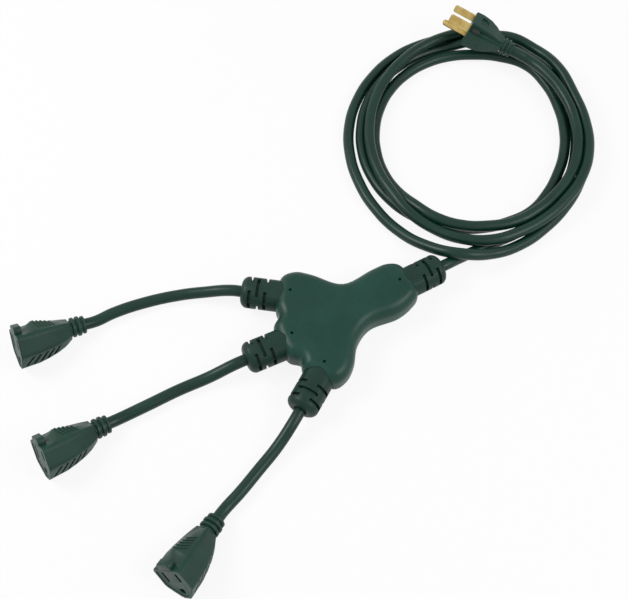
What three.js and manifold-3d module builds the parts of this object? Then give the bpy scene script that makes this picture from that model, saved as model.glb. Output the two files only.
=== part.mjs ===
// Outdoor extension cord: one grounded plug, a coiled main cord, a moulded splitter,
// and three short legs that each end in a grounded connector.
// Millimetres, +Z up. The origin is the middle of the splitter's flat base.

import * as THREE from 'three';
import { mergeVertices } from 'three/addons/utils/BufferGeometryUtils.js';
import Module from 'manifold-3d';

const wasm = await Module();
wasm.setup();

// Sizes shared by all pieces
const fitGap = 0.3; // clearance between pieces that seat in each other
const cordDiameter = 8.2;
const wireDiameter = 2.4;
const wirePitchRadius = 1.75; // the three wires lie in a triangle inside the jacket
const wireBore = 3.5; // radius of the passage that the wires run through
const cordSides = 10;
const wireSides = 6;
const wireLeadIn = 3; // straight stretch of a wire before its crimp or contact
const wireStep = 6;
const spreadInside = 4; // how far inside a cavity its wires begin to part
const cordStep = 20;
const restGap = 0.1; // between a piece and what it lies on

// Ribbed strain reliefs of the connectors and the plug
const grooveShare = 0.38;
const ringEase = 0.5;
const reliefEndStep = 0.7; // the last ring is a little smaller
const reliefRoot = 5; // how far the core reaches into the body

// Standard three-pin interface
const bladeSpacing = 12.7;
const groundDrop = 11.9; // ground pin below the line of the blades
const groundPinDiameter = 4.76;
const groundPinLength = 20.6;
const bladeLength = 17.5;
const bladeThickness = 1.5;
const bladeNose = 1.2;
const bladeBack = -10; // where the blades end inside the plug
const bladeShoulder = -4.5; // behind it the blades and the pin are narrower
const bladeTailWidth = 4.4;
const pinTailRadius = 1.5;
const lineBladeWidth = 6.35;
const neutralBladeWidth = 7.9;

// Splitter
const splitterHeight = 24;
const splitterEdgeRise = 9; // height of the rounding above and below the straight band
const splitterEdgeInset = 8;
const splitterWall = 3;
const portHalf = 12; // half the width of a port face
const outlinePoints = 48;
const chamberRadius = 15.5;
const reliefRadius = 11.2;
const reliefLength = 26; // the part that stands out of the splitter
const reliefNeckRadius = 7.6;
const reliefChamfer = 3.4; // at the free end
const reliefMouthRadius = 5.3;
const reliefFlangeRadius = 9.4;
const reliefSeatDepth = 6;
const reliefNeckLength = 3;
const reliefFlangeLength = 3;
const passageRadius = 9.7; // from each flange to the middle of the splitter
const passageOverlap = 4; // where the passage turns towards the middle
const reliefSlotWidth = 2.2;
const reliefSlotDepth = 2.4;
const reliefSlotRows = [7.5, 13, 18.5]; // from the port face outwards
const reliefSlotsPerRow = 3;
const reliefSlotArc = THREE.MathUtils.degToRad(80);
const pinHoleRadius = 1.15;
const pinHoleDepth = 1.6;
const pinHoleSetback = 8.5; // from the port face back towards the middle

// Each arm leaves the splitter at reach and angle, and points along heading
const arms = [
  { name: 'main', reach: 54, angle: 31.5, heading: 28.5 },
  { name: 'leg_1', reach: 49, angle: 159.5, heading: 171.5 },
  { name: 'leg_2', reach: 48.5, angle: 205.5, heading: 204.5 },
  { name: 'leg_3', reach: 49.5, angle: 248.5, heading: 242 },
];

// Splice block and crimps inside the splitter
const layerPitch = 5.4;
const crimpLength = 12;
const crimpWidth = 9;
const crimpHeight = 3.4;
const blockLength = 19;
const blockWidth = 15;
const blockTurn = 15;
const wirePolarities = ['ground', 'line', 'neutral'];

// Connectors on the legs
const socketHalfWidth = 13.6;
const socketTop = 7.2;
const socketSideLow = -8.4;
const socketBottom = -18;
const socketTipHalfWidth = 4;
const socketBodyLength = 38;
const socketReliefLength = 11;
const socketRingRadius = 7;
const socketReliefCore = 5.2;
const socketRings = 3;
const socketFaceWall = 2.6;
const socketWall = 1.8;
const socketCavityDepth = 28;
const carrierDepth = 17.5;
const contactLength = 14;
const contactWall = 0.9;
const contactSleeve = 0.35; // wall of the round ground contact
const groundContactLength = 12;
const contactWeb = 2; // closed back of a contact
const contactTrim = 1.2; // contacts are lower than the blades that they hold
const slotClearance = 0.35; // around each blade in the face slots
const groundFlatShare = 0.7; // height of the ground hole's flat side over its middle
const tabWidth = 12.5;
const tabHeight = 4.8;
const tabThickness = 5.2;
const tabCorner = 2.6;
const tabRoot = 1;
const gripGrooves = 5;
const gripGrooveStart = 6;
const gripGroovePitch = 5;
const gripGrooveWidth = 1.5;
const gripGrooveDepth = 1;
const gripGrooveShare = 0.8; // of the slanted side's width
const gripGrooveSlant = 28;
const socketRoll = 45;

// Connector section along its length: distance behind the face, then shares of the face outline
const socketStations = [
  { back: 0, width: 1, depth: 1, crest: 0 },
  { back: 6, width: 0.97, depth: 0.98, crest: 0.2 },
  { back: 13, width: 0.92, depth: 0.96, crest: 5.4 },
  { back: 20, width: 0.84, depth: 0.88, crest: 3.8 },
  { back: 27, width: 0.73, depth: 0.77, crest: 1.6 },
  { back: 33, width: 0.59, depth: 0.63, crest: 0.2 },
  { back: 38, width: 0.45, depth: 0.43, crest: -1 },
];

// Plug
const plugHalfWidth = 13.6;
const plugTop = 6.6;
const plugBottom = -17.4;
const plugCorner = 6;
const plugBodyLength = 28.5;
const plugReliefLength = 9.5;
const plugRingRadius = 6.6;
const plugReliefCore = 5.2;
const plugRings = 3;
const plugCordDrop = -4.5; // the cord's axis below the line of the blades
const plugFaceWall = 2;
const plugCavityDepth = 20;
const bridgeDepth = 6;
const plugWall = 2.4;
const thumbRecessRadius = 4.2;
const thumbRecessDepth = 1.4;
const thumbRecessBack = 8;
const plugStations = [
  { back: 0, width: 0.95, depth: 1 },
  { back: 6, width: 1, depth: 1 },
  { back: 13, width: 0.92, depth: 0.94 },
  { back: 19, width: 0.76, depth: 0.78 },
  { back: 24, width: 0.58, depth: 0.56 },
  { back: 28.5, width: 0.46, depth: 0.46 },
];

// Where the connectors and the plug lie
const sockets = [
  { name: 'socket_1', cordEnd: [-181, -2], heading: 205 },
  { name: 'socket_2', cordEnd: [-158, -76], heading: 212.5 },
  { name: 'socket_3', cordEnd: [-82.8, -141], heading: 238 },
];
const plugPlace = { cordEnd: [134.8, 232], heading: 156.3, roll: 8 };

// Coil of the main cord
const coilCentre = [97, 157];
const coilRadius = 88; // at the middle of its turns
const coilBundleWidth = 27;
const coilHeight = 15;
const coilShare = [0.94, 1.06]; // the loop is a little longer than wide
const coilLift = 0.1;
const leadRise = 0.7; // of the cord's end towards the plug

const deg = THREE.MathUtils.degToRad;
const portAxis = splitterHeight / 2;
const coilTop = coilLift + coilHeight;
const reliefInnerEnd = -reliefSeatDepth - reliefNeckLength - reliefFlangeLength - 1;
const socketLength = socketBodyLength + socketReliefLength;
const plugLength = plugBodyLength + plugReliefLength;

// A piece on a cord lies on its last rib and on the section that stands out most towards the surface
function restingPitch(stations, length, restBack, ringRadius, reachOf) {
  const slopes = stations.map((station) =>
    (reachOf(station) - ringRadius) / (length - restBack - station.back));
  return Math.atan(Math.max(...slopes.slice(0, -1)));
}
const heightAtCordEnd = (pitch, ringRadius, restBack) =>
  ringRadius * Math.cos(pitch) - restBack * Math.sin(pitch) + restGap;

// A connector lies on one slanted side
const socketRestBack = socketReliefLength / socketRings / 2;
const socketPitch = restingPitch(socketStations, socketLength, socketRestBack, socketRingRadius,
  ({ width, depth }) => Math.max(
    socketHalfWidth * width - socketSideLow * depth,
    socketTipHalfWidth * width - socketBottom * depth) / Math.SQRT2);
const socketEndHeight = heightAtCordEnd(socketPitch, socketRingRadius, socketRestBack);

// Contacts inside a connector
const contactWidth = bladeThickness + fitGap + 2 * contactWall;
const lineContactHeight = lineBladeWidth - contactTrim;
const neutralContactHeight = neutralBladeWidth - contactTrim;
const groundContactRadius = groundPinDiameter / 2 + contactSleeve;
const contactFront = -socketFaceWall - 2 * fitGap;
const contactBack = contactFront - contactLength;
const groundContactBack = contactFront - groundContactLength;

const greenRubber = () => new THREE.MeshStandardMaterial({ color: 0x2f5248, roughness: 0.5, metalness: 0 });
const greenCord = () => new THREE.MeshStandardMaterial({ color: 0x2c5044, roughness: 0.42, metalness: 0 });
const palePlastic = () => new THREE.MeshStandardMaterial({ color: 0xd8d5c8, roughness: 0.6, metalness: 0 });
const brass = () => new THREE.MeshStandardMaterial({ color: 0xc8a85a, roughness: 0.3, metalness: 1 });
const wireColours = { ground: 0x2f7a3f, line: 0x1b1b1b, neutral: 0xe6e4dc };
const wireSleeve = (polarity) =>
  new THREE.MeshStandardMaterial({ color: wireColours[polarity], roughness: 0.5, metalness: 0 });

const product = new THREE.Group();

// Solid modelling helpers

function solidOf(geometry) {
  const plain = geometry.clone();
  plain.deleteAttribute('normal');
  plain.deleteAttribute('uv');
  const merged = mergeVertices(plain, 1e-4);
  const mesh = new wasm.Mesh({
    numProp: 3,
    vertProperties: new Float32Array(merged.attributes.position.array),
    triVerts: new Uint32Array(merged.index.array),
  });
  return new wasm.Manifold(mesh);
}

function geometryOf(solid) {
  const mesh = solid.getMesh();
  const geometry = new THREE.BufferGeometry();
  geometry.setAttribute('position', new THREE.BufferAttribute(new Float32Array(mesh.vertProperties), 3));
  geometry.setIndex(new THREE.BufferAttribute(new Uint32Array(mesh.triVerts), 1));
  geometry.computeVertexNormals();
  return geometry;
}

function cut(base, cutters) {
  return cutters.reduce((left, cutter) => left.subtract(solidOf(cutter)), solidOf(base));
}

function addMesh(parent, name, geometry, material) {
  const mesh = new THREE.Mesh(geometry, material);
  mesh.name = name;
  parent.add(mesh);
  return mesh;
}

// A solid turned about Z from [radius, z] points, with the axis closed at both ends
function turned(points, sides) {
  return new THREE.LatheGeometry(points.map(([r, z]) => new THREE.Vector2(r, z)), sides).rotateX(Math.PI / 2);
}

// A straight rod along Z from z0 to z1
function rod(radius, z0, z1, sides = 24) {
  const geometry = new THREE.CylinderGeometry(radius, radius, z1 - z0, sides);
  return geometry.rotateX(Math.PI / 2).translate(0, 0, (z0 + z1) / 2);
}

function block(width, height, z0, z1, x = 0, y = 0) {
  return new THREE.BoxGeometry(width, height, z1 - z0).translate(x, y, (z0 + z1) / 2);
}

// A round tube along a smooth curve through the points
function tube(points, diameter, sides, stepLength) {
  const curve = new THREE.CatmullRomCurve3(points, false, 'centripetal');
  const section = new THREE.Shape();
  section.absarc(0, 0, diameter / 2, 0, Math.PI * 2);
  const outline = section.getSpacedPoints(sides).slice(0, sides);
  const steps = Math.max(3, Math.round(curve.getLength() / stepLength));
  return new THREE.ExtrudeGeometry(new THREE.Shape(outline), { steps, extrudePath: curve, bevelEnabled: false });
}

// A group whose +Z is the axis of a plug or connector, from its cord to its face
function headingGroup(position, headingDegrees, pitch, rollDegrees) {
  const heading = deg(headingDegrees);
  const roll = deg(rollDegrees);
  const forward = new THREE.Vector3(
    Math.cos(pitch) * Math.cos(heading), Math.cos(pitch) * Math.sin(heading), Math.sin(pitch));
  const levelUp = new THREE.Vector3(
    -Math.sin(pitch) * Math.cos(heading), -Math.sin(pitch) * Math.sin(heading), Math.cos(pitch));
  const levelSide = new THREE.Vector3().crossVectors(levelUp, forward);
  const side = levelSide.clone().multiplyScalar(Math.cos(roll)).addScaledVector(levelUp, Math.sin(roll));
  const up = levelUp.clone().multiplyScalar(Math.cos(roll)).addScaledVector(levelSide, -Math.sin(roll));
  const group = new THREE.Group();
  group.quaternion.setFromRotationMatrix(new THREE.Matrix4().makeBasis(side, up, forward));
  group.position.copy(position);
  group.updateMatrixWorld(true);
  return group;
}

// Splitter

function armFrame(arm) {
  const heading = deg(arm.heading);
  const port = new THREE.Vector2(arm.reach, 0).rotateAround(new THREE.Vector2(), deg(arm.angle));
  const along = new THREE.Vector2(Math.cos(heading), Math.sin(heading));
  const across = new THREE.Vector2(-along.y, along.x);
  const at = (s, t) => port.clone().addScaledVector(along, s).addScaledVector(across, t);
  return { port, along, heading, at };
}

const armFrames = arms.map(armFrame);
const [mainArm, arm1, arm2, arm3] = armFrames;

// A piece modelled along +Z from the port face, set on its arm
function onArm(geometry, arm) {
  return geometry.clone().rotateY(Math.PI / 2).rotateZ(arm.heading).translate(arm.port.x, arm.port.y, portAxis);
}

// The port faces are flat; between them the outline swells and draws in
function splitterOutline() {
  const points = [
    mainArm.at(0, -portHalf), mainArm.at(0, portHalf), mainArm.at(-8, 18), mainArm.at(-20, 19),
    new THREE.Vector2(-1, 24),
    arm1.at(-21, -17.5), arm1.at(-9, -18), arm1.at(0, -portHalf), arm1.at(0, portHalf),
    new THREE.Vector2(-45.5, -1.5),
    arm2.at(0, -portHalf), arm2.at(0, portHalf),
    new THREE.Vector2(-30, -35),
    arm3.at(0, -portHalf), arm3.at(0, portHalf), arm3.at(-8, 17), arm3.at(-19, 17),
    new THREE.Vector2(9, -20), new THREE.Vector2(18, -7),
    mainArm.at(-20, -19.5), mainArm.at(-8, -17),
  ];
  const loop = new THREE.CatmullRomCurve3(points.map((p) => new THREE.Vector3(p.x, p.y, 0)), true, 'centripetal');
  return new THREE.Shape(loop.getSpacedPoints(outlinePoints).slice(0, outlinePoints).map((p) => new THREE.Vector2(p.x, p.y)));
}

function splitterBody() {
  const puff = new THREE.ExtrudeGeometry(splitterOutline(), {
    depth: splitterHeight - 2 * splitterEdgeRise,
    bevelThickness: splitterEdgeRise,
    bevelSize: splitterEdgeInset,
    bevelOffset: -splitterEdgeInset,
    bevelSegments: 3,
  }).translate(0, 0, splitterEdgeRise);
  const neckStart = -reliefSeatDepth - reliefNeckLength;
  const cutters = [rod(chamberRadius, splitterWall, splitterHeight - splitterWall, 20)];
  for (const arm of armFrames) {
    cutters.push(onArm(rod(reliefRadius + fitGap, -reliefSeatDepth, reliefSeatDepth, 20), arm));
    cutters.push(onArm(rod(reliefNeckRadius + fitGap, neckStart - fitGap, -reliefSeatDepth + fitGap, 14), arm));
    cutters.push(onArm(rod(reliefFlangeRadius + fitGap, reliefInnerEnd - passageOverlap, neckStart, 16), arm));
    const inner = arm.at(reliefInnerEnd, 0);
    const passage = rod(passageRadius, 0, inner.length(), 14).rotateY(Math.PI / 2).rotateZ(inner.angle());
    cutters.push(passage.translate(0, 0, portAxis));
    const hole = arm.at(-pinHoleSetback, 0);
    cutters.push(rod(pinHoleRadius, splitterHeight - pinHoleDepth, splitterHeight + 1, 12).translate(hole.x, hole.y, 0));
  }
  return geometryOf(cut(puff, cutters));
}

function reliefGeometry() {
  const inner = -reliefSeatDepth - reliefNeckLength;
  const flangeBack = inner - fitGap - reliefFlangeLength;
  const flangeFront = inner - fitGap;
  const barrelStart = -reliefSeatDepth + fitGap;
  const profile = [
    [wireBore, flangeBack], [reliefFlangeRadius, flangeBack], [reliefFlangeRadius, flangeFront],
    [reliefNeckRadius, flangeFront], [reliefNeckRadius, barrelStart],
    [reliefRadius, barrelStart], [reliefRadius, reliefLength - reliefChamfer],
    [reliefRadius - reliefChamfer * 0.8, reliefLength - fitGap], [reliefMouthRadius, reliefLength],
    [wireBore, reliefLength], [wireBore, flangeBack],
  ];
  const sector = new THREE.Shape();
  const slotFloor = reliefRadius - reliefSlotDepth;
  sector.absarc(0, 0, reliefRadius + 1, 0, reliefSlotArc, false);
  sector.absarc(0, 0, slotFloor, reliefSlotArc, 0, true);
  const cutters = [];
  reliefSlotRows.forEach((rowStart, row) => {
    for (let i = 0; i < reliefSlotsPerRow; i += 1) {
      const slot = new THREE.ExtrudeGeometry(sector, {
        depth: reliefSlotWidth, bevelEnabled: false, curveSegments: 3,
      });
      const turn = (i + (row % 2) / 2) * (2 * Math.PI / reliefSlotsPerRow);
      cutters.push(slot.rotateZ(turn - reliefSlotArc / 2).translate(0, 0, rowStart));
    }
  });
  return geometryOf(cut(turned(profile, 18), cutters));
}

addMesh(product, 'splitter_body', splitterBody(), greenRubber());
const relief = reliefGeometry();
armFrames.forEach((arm, i) => {
  addMesh(product, `relief_${arms[i].name}`, onArm(relief, arm), greenRubber());
});

// The block that keeps the three splices apart, with one tunnel for each crimp

const spliceGroup = new THREE.Group();
spliceGroup.rotation.z = deg(blockTurn);
spliceGroup.position.z = portAxis;
product.add(spliceGroup);

const layerHeight = (layer) => (layer - 1) * layerPitch;
const blockHeight = splitterHeight - 2 * splitterWall - 2 * fitGap;
const spliceTunnels = wirePolarities.map((_, layer) =>
  new THREE.BoxGeometry(blockLength + 2, crimpWidth + 2 * fitGap, crimpHeight + 2 * fitGap)
    .translate(0, 0, layerHeight(layer)));
const blockGeometry = new THREE.BoxGeometry(blockLength, blockWidth, blockHeight);
addMesh(spliceGroup, 'splice_block', geometryOf(cut(blockGeometry, spliceTunnels)), palePlastic());

wirePolarities.forEach((polarity, layer) => {
  const crimp = new THREE.BoxGeometry(crimpLength, crimpWidth, crimpHeight).translate(0, 0, layerHeight(layer));
  addMesh(spliceGroup, `crimp_${polarity}`, crimp, brass());
});

// Wires from each cord end to the crimp of the same polarity

const wireOffset = (degrees) => [wirePitchRadius * Math.cos(deg(degrees)), wirePitchRadius * Math.sin(deg(degrees))];
const splitterWireAngles = [-60, 180, 60];

function splitterWire(arm, index, layer) {
  const [across, rise] = wireOffset(splitterWireAngles[layer]);
  const isMain = index === 0;
  const side = isMain ? 1 : -1;
  const lane = isMain ? 0 : (index - 2) * -(wireDiameter + fitGap);
  const inArm = (s) => {
    const flat = arm.at(s, across);
    return new THREE.Vector3(flat.x, flat.y, portAxis + rise);
  };
  const inBlock = (x, y) => new THREE.Vector3(side * x, y, layerHeight(layer))
    .applyMatrix4(spliceGroup.matrixWorld);
  return tube([
    inArm(reliefLength - fitGap),
    inArm(0),
    inArm(reliefInnerEnd),
    inBlock(blockLength / 2 + wireLeadIn, lane),
    inBlock(crimpLength / 2 + fitGap, lane),
  ], wireDiameter, wireSides, wireStep);
}

spliceGroup.updateMatrixWorld(true);
armFrames.forEach((arm, index) => {
  wirePolarities.forEach((polarity, layer) => {
    addMesh(product, `wire_${arms[index].name}_${polarity}`, splitterWire(arm, index, layer), wireSleeve(polarity));
  });
});

// Sections of the connectors and the plug

function stationAt(stations, back) {
  const found = stations.findIndex((station) => station.back >= back);
  const next = found < 0 ? stations.length - 1 : Math.max(1, found);
  const from = stations[next - 1];
  const to = stations[next];
  const share = THREE.MathUtils.clamp((back - from.back) / (to.back - from.back), 0, 1);
  const mixed = {};
  for (const key of Object.keys(from)) {
    mixed[key] = THREE.MathUtils.lerp(from[key], to[key], share);
  }
  return mixed;
}

// An outline extruded from z1 to z0 and drawn in, ring by ring, by the given section rule
function tapered(outline, z0, z1, steps, section) {
  const geometry = new THREE.ExtrudeGeometry(outline, {
    depth: z0 - z1, steps, bevelEnabled: false, curveSegments: 4,
  }).translate(0, 0, z1);
  const position = geometry.attributes.position;
  for (let i = 0; i < position.count; i += 1) {
    const [x, y] = section(position.getX(i), position.getY(i), -position.getZ(i));
    position.setXY(i, x, y);
  }
  return geometry;
}

// Ribs of a strain relief, from its free end at z0 to the body at z1
function ribbedRelief(z0, z1, rings, ringRadius, coreRadius) {
  const pitch = (z1 - z0) / rings;
  const groove = pitch * grooveShare;
  const profile = [[0, z0]];
  for (let i = 0; i < rings; i += 1) {
    const start = z0 + i * pitch;
    const radius = ringRadius - (i === 0 ? reliefEndStep : 0);
    profile.push([radius - ringEase, start], [radius, start + ringEase], [radius, start + pitch - groove]);
    profile.push([coreRadius, start + pitch - groove], [coreRadius, start + pitch]);
  }
  profile.push([coreRadius, z1 + reliefRoot], [0, z1 + reliefRoot]);
  return turned(profile, 14);
}

// The ground hole is round with a flat side towards the blades
function groundHole(radius, z0, z1) {
  const shape = new THREE.Shape();
  shape.absarc(0, -groundDrop, radius, Math.PI, 2 * Math.PI, false);
  shape.lineTo(radius, -groundDrop + radius * groundFlatShare);
  shape.lineTo(-radius, -groundDrop + radius * groundFlatShare);
  const geometry = new THREE.ExtrudeGeometry(shape, { depth: z1 - z0, bevelEnabled: false, curveSegments: 8 });
  return geometry.translate(0, 0, z0);
}

const socketWireAngles = { line: 30, neutral: 150, ground: 270 };
const plugWireAngles = { line: 150, neutral: 30, ground: 270 };

// A wire from the cord's end, through the bore, to the back of its contact or blade
function connectorWire(angle, cordEnd, boreEnd, target) {
  const [x, y] = wireOffset(angle);
  return tube([
    new THREE.Vector3(x, y + cordEnd.y, cordEnd.z + fitGap),
    new THREE.Vector3(x, y + cordEnd.y, boreEnd - wireLeadIn),
    new THREE.Vector3(x, y + cordEnd.y, boreEnd),
    new THREE.Vector3(target.x, target.y, target.z - wireLeadIn),
    new THREE.Vector3(target.x, target.y, target.z - fitGap),
  ], wireDiameter, wireSides, wireStep);
}

// Connectors

function socketOutline(inset) {
  const slant = inset * (Math.SQRT2 - 1);
  const half = socketHalfWidth - inset;
  const top = socketTop - inset;
  const low = socketSideLow + slant;
  const tip = socketTipHalfWidth - slant;
  const bottom = socketBottom + inset;
  return new THREE.Shape([
    [half, low], [half, top], [half / 2, top], [0, top], [-half / 2, top], [-half, top],
    [-half, low], [-tip, bottom], [tip, bottom],
  ].map(([x, y]) => new THREE.Vector2(x, y)));
}

// The top draws in less than the bottom
const topShare = (depth) => THREE.MathUtils.lerp(1, depth, 0.35);

function socketInnerSection(x, y, back) {
  const { width, depth } = stationAt(socketStations, back);
  return [x * width, y > 0 ? y * topShare(depth) : y * depth];
}

// The outside adds a crest along the middle of the top
function socketOuterSection(x, y, back) {
  const [sectionX, sectionY] = socketInnerSection(x, y, back);
  const crest = y > 0 ? stationAt(socketStations, back).crest * (1 - Math.abs(x) / socketHalfWidth) : 0;
  return [sectionX, sectionY + crest];
}

function tabGeometry() {
  const half = tabWidth / 2;
  const root = socketTop - tabRoot;
  const top = socketTop + tabHeight;
  const shape = new THREE.Shape();
  shape.moveTo(-half, root);
  shape.lineTo(half, root);
  shape.absarc(half - tabCorner, top - tabCorner, tabCorner, 0, Math.PI / 2, false);
  shape.absarc(-half + tabCorner, top - tabCorner, tabCorner, Math.PI / 2, Math.PI, false);
  return new THREE.ExtrudeGeometry(shape, { depth: tabThickness, bevelEnabled: false, curveSegments: 4 })
    .translate(0, 0, -tabThickness);
}

// Slanting grooves across the two lower sides, where the fingers hold
function gripCutters() {
  const middleX = (socketHalfWidth + socketTipHalfWidth) / 2;
  const middleY = (socketSideLow + socketBottom) / 2;
  const slantLength = Math.hypot(socketHalfWidth - socketTipHalfWidth, socketSideLow - socketBottom);
  const cutters = [];
  for (let i = 0; i < gripGrooves; i += 1) {
    const back = gripGrooveStart + i * gripGroovePitch;
    const { width, depth } = stationAt(socketStations, back);
    for (const side of [-1, 1]) {
      const bar = new THREE.BoxGeometry(slantLength * gripGrooveShare, 2 * gripGrooveDepth, gripGrooveWidth);
      bar.rotateY(deg(side * gripGrooveSlant)).rotateZ(side * deg(45));
      cutters.push(bar.translate(side * middleX * width, middleY * depth, -back));
    }
  }
  return cutters;
}

function faceSlot(bladeWidth, x) {
  return block(bladeThickness + 2 * slotClearance, bladeWidth + 2 * slotClearance, -socketFaceWall - 1, 1, x);
}

function socketBodyGeometry() {
  const shell = tapered(socketOutline(0), 0, -socketBodyLength, 8, socketOuterSection);
  const ribs = ribbedRelief(-socketLength, -socketBodyLength, socketRings, socketRingRadius, socketReliefCore);
  const whole = solidOf(shell).add(solidOf(ribs)).add(solidOf(tabGeometry()));
  const cutters = [
    tapered(socketOutline(socketWall), -socketFaceWall, -socketCavityDepth, 5, socketInnerSection),
    rod(wireBore, -socketLength - 1, -socketCavityDepth + 1, 16),
    faceSlot(lineBladeWidth, bladeSpacing / 2),
    faceSlot(neutralBladeWidth, -bladeSpacing / 2),
    groundHole(groundPinDiameter / 2 + slotClearance, -socketFaceWall - 1, 1),
    ...gripCutters(),
  ];
  return geometryOf(cutters.reduce((left, cutter) => left.subtract(solidOf(cutter)), whole));
}

// The insulating carrier fills the front of the cavity and has a pocket for each contact
function carrierGeometry() {
  const front = -socketFaceWall - fitGap;
  const base = tapered(socketOutline(socketWall + fitGap), front, -carrierDepth, 4, socketInnerSection);
  const pocket = (height, x) =>
    block(contactWidth + 2 * fitGap, height + 2 * fitGap, -carrierDepth - 1, front + 1, x);
  return geometryOf(cut(base, [
    pocket(lineContactHeight, bladeSpacing / 2),
    pocket(neutralContactHeight, -bladeSpacing / 2),
    rod(groundContactRadius + fitGap, -carrierDepth - 1, front + 1, 20).translate(0, -groundDrop, 0),
  ]));
}

// A bent spring contact: two leaves and the web behind them
function bladeContact(height) {
  const mouth = block(bladeThickness + fitGap, height + 2, contactBack + contactWeb, contactFront + 1);
  return geometryOf(cut(block(contactWidth, height, contactBack, contactFront), [mouth]));
}

function groundContact() {
  const inner = groundPinDiameter / 2;
  return turned([
    [0, groundContactBack], [groundContactRadius, groundContactBack], [groundContactRadius, contactFront],
    [inner, contactFront], [inner, groundContactBack + contactWeb], [0, groundContactBack + contactWeb],
  ], 16).translate(0, -groundDrop, 0);
}

const socketBodyShape = socketBodyGeometry();
const carrierShape = carrierGeometry();
const socketContacts = {
  line: { shape: bladeContact(lineContactHeight), x: bladeSpacing / 2, tail: [bladeSpacing / 2, 0, contactBack] },
  neutral: { shape: bladeContact(neutralContactHeight), x: -bladeSpacing / 2, tail: [-bladeSpacing / 2, 0, contactBack] },
  ground: { shape: groundContact(), x: 0, tail: [0, -groundDrop, groundContactBack] },
};

for (const socket of sockets) {
  const [x, y] = socket.cordEnd;
  const group = headingGroup(new THREE.Vector3(x, y, socketEndHeight), socket.heading, socketPitch, socketRoll);
  product.add(group);
  const fromFace = new THREE.Group();
  fromFace.position.z = socketLength;
  group.add(fromFace);
  addMesh(fromFace, `${socket.name}_body`, socketBodyShape, greenRubber());
  addMesh(fromFace, `${socket.name}_carrier`, carrierShape, palePlastic());
  for (const polarity of wirePolarities) {
    const contact = socketContacts[polarity];
    const held = addMesh(fromFace, `${socket.name}_contact_${polarity}`, contact.shape, brass());
    held.position.x = contact.x;
    const wire = connectorWire(
      socketWireAngles[polarity], new THREE.Vector3(0, 0, -socketLength), spreadInside - socketCavityDepth,
      new THREE.Vector3(...contact.tail));
    addMesh(fromFace, `${socket.name}_wire_${polarity}`, wire, wireSleeve(polarity));
  }
}

// Plug

function plugOutline(inset) {
  const half = plugHalfWidth - inset;
  const top = plugTop - inset;
  const bottom = plugBottom + inset;
  const corner = Math.max(plugCorner - inset, 1);
  const shape = new THREE.Shape();
  shape.absarc(half - corner, top - corner, corner, 0, Math.PI / 2, false);
  shape.absarc(-half + corner, top - corner, corner, Math.PI / 2, Math.PI, false);
  shape.absarc(-half + corner, bottom + corner, corner, Math.PI, 1.5 * Math.PI, false);
  shape.absarc(half - corner, bottom + corner, corner, 1.5 * Math.PI, 2 * Math.PI, false);
  return shape;
}

// The plug draws in towards the cord's axis
function plugSection(x, y, back) {
  const { width, depth } = stationAt(plugStations, back);
  return [x * width, plugCordDrop + (y - plugCordDrop) * depth];
}

const bladeOut = (polarity) => ({
  line: { width: lineBladeWidth, x: -bladeSpacing / 2 },
  neutral: { width: neutralBladeWidth, x: bladeSpacing / 2 },
})[polarity];

function bladeGeometry(width) {
  const half = width / 2;
  const shape = new THREE.Shape();
  const tail = bladeTailWidth / 2;
  shape.moveTo(bladeBack, tail);
  shape.lineTo(bladeBack, -tail);
  shape.lineTo(bladeShoulder, -tail);
  shape.lineTo(bladeShoulder, -half);
  shape.lineTo(bladeLength - bladeNose, -half);
  shape.lineTo(bladeLength, -half + bladeNose);
  shape.lineTo(bladeLength, half - bladeNose);
  shape.lineTo(bladeLength - bladeNose, half);
  shape.lineTo(bladeShoulder, half);
  shape.lineTo(bladeShoulder, tail);
  return new THREE.ExtrudeGeometry(shape, { depth: bladeThickness, bevelEnabled: false })
    .translate(0, 0, -bladeThickness / 2).rotateY(-Math.PI / 2);
}

function groundPinGeometry() {
  const radius = groundPinDiameter / 2;
  return turned([
    [0, bladeBack], [pinTailRadius, bladeBack], [pinTailRadius, bladeShoulder], [radius, bladeShoulder],
    [radius, groundPinLength - radius],
    [radius * 0.87, groundPinLength - radius / 2], [radius * 0.5, groundPinLength - radius * 0.13],
    [0, groundPinLength],
  ], 18).translate(0, -groundDrop, 0);
}

// Holes for the two blades and the ground pin, through a wall or the bridge
function pinHoles(z0, z1) {
  const blades = ['line', 'neutral'].map((polarity) => {
    const { width, x } = bladeOut(polarity);
    return block(bladeThickness + 2 * fitGap, width + 2 * fitGap, z0, z1, x);
  });
  return [...blades, rod(groundPinDiameter / 2 + fitGap, z0, z1, 20).translate(0, -groundDrop, 0)];
}

function plugBodyGeometry() {
  const shell = tapered(plugOutline(0), 0, -plugBodyLength, 7, plugSection);
  const ribs = ribbedRelief(-plugLength, -plugBodyLength, plugRings, plugRingRadius, plugReliefCore);
  const thumb = new THREE.CylinderGeometry(thumbRecessRadius, thumbRecessRadius, 2 * thumbRecessDepth, 20)
    .translate(0, plugTop, -thumbRecessBack);
  const cutters = [
    tapered(plugOutline(plugWall), -plugFaceWall, -plugCavityDepth, 4, plugSection),
    rod(wireBore, -plugLength - 1, -plugCavityDepth + 1, 16).translate(0, plugCordDrop, 0),
    ...pinHoles(-plugFaceWall - 1, 1),
    thumb,
  ];
  const whole = solidOf(shell).add(solidOf(ribs.translate(0, plugCordDrop, 0)));
  return geometryOf(cutters.reduce((left, cutter) => left.subtract(solidOf(cutter)), whole));
}

function bridgeGeometry() {
  const front = -plugFaceWall - fitGap;
  const base = tapered(plugOutline(plugWall + fitGap), front, front - bridgeDepth, 2, plugSection);
  return geometryOf(cut(base, pinHoles(front - bridgeDepth - 1, front + 1)));
}

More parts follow.
